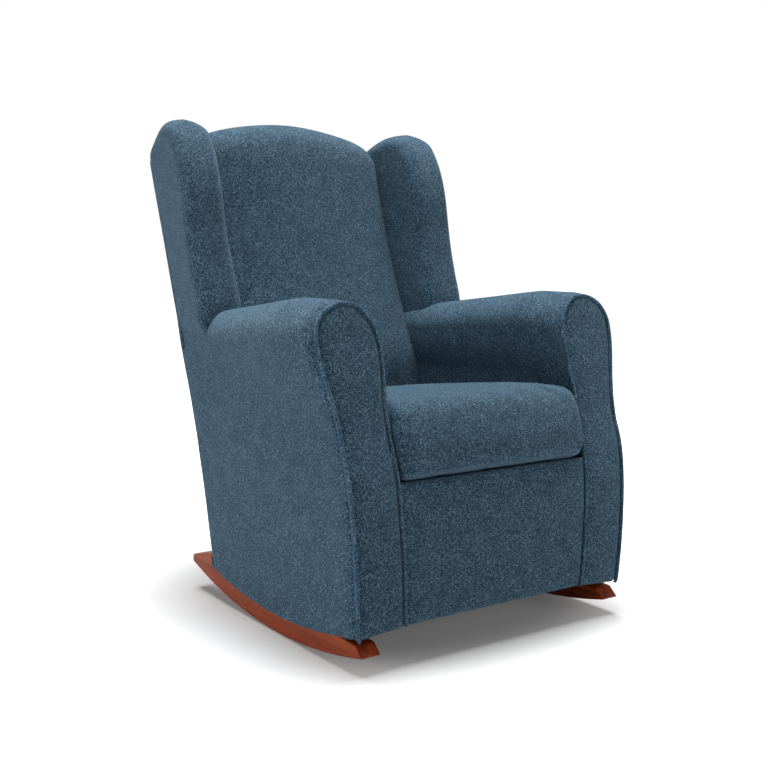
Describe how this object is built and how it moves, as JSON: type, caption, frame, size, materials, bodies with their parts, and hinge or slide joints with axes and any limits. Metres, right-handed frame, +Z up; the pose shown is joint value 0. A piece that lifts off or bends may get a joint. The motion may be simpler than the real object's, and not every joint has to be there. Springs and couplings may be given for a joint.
{
  "type": "upholstered rocking chair",
  "caption": "Wing-back upholstered armchair with rolled arms and a thick loose seat cushion, standing on two curved wooden runners on which the whole chair rocks",
  "frame": {"origin": "middle of the footprint, on the floor that the runners stand on", "axes": "+Z up, the chair faces -Y, +X is its right side seen from the front"},
  "size_m": [0.74, 0.8926, 1.0463],
  "materials": {
    "woven_fabric": "heathered blue-teal woven upholstery cloth",
    "dark_cloth": "thin black non-woven cloth and webbing",
    "fibre_filling": "foam wrapped in soft fibre",
    "stained_wood": "red-brown stained hardwood, satin lacquer",
    "frame_wood": "plain sawn softwood and plywood",
    "steel": "plain steel wire and screws"
  },
  "bodies": {
    "root": {"runner_left": "stained_wood", "runner_right": "stained_wood", "runner_screws": "steel", "base_rail_left": "frame_wood", "base_rail_right": "frame_wood", "front_post_left": "frame_wood", "front_post_right": "frame_wood", "rear_post_left": "frame_wood", "rear_post_right": "frame_wood", "arm_board_left": "frame_wood", "arm_board_right": "frame_wood", "arm_front_board_left": "frame_wood", "arm_front_board_right": "frame_wood", "front_board": "frame_wood", "rear_bottom_rail": "frame_wood", "dust_cover": "dark_cloth", "seat_front_rail": "frame_wood", "seat_rear_rail": "frame_wood", "seat_side_rail_left": "frame_wood", "seat_side_rail_right": "frame_wood", "corner_blocks": "frame_wood", "seat_springs": "steel", "spring_clips": "steel", "seat_deck": "dark_cloth", "back_bottom_rail": "frame_wood", "back_middle_rail": "frame_wood", "back_top_rail": "frame_wood", "back_webbing": "dark_cloth", "wing_board_left": "frame_wood", "wing_board_right": "frame_wood", "arm_pad_left": "woven_fabric", "arm_pad_right": "woven_fabric", "wing_pad_left": "woven_fabric", "wing_pad_right": "woven_fabric", "arm_front_panel_left": "woven_fabric", "arm_front_panel_right": "woven_fabric", "arm_welt_left": "woven_fabric", "arm_welt_right": "woven_fabric", "apron_panel": "woven_fabric", "outer_side_panel_left": "woven_fabric", "outer_side_panel_right": "woven_fabric", "outer_back_panel": "woven_fabric", "back_cushion": "woven_fabric"},
    "seat_cushion": {"seat_cushion_cover": "woven_fabric", "seat_cushion_filling": "fibre_filling"}
  },
  "joints": [
    {"name": "cushion_pull", "type": "slide", "parent": "root", "child": "seat_cushion", "axis": [0, -0.9976, 0.0698], "range_m": [0, 0.5]}
  ]
}
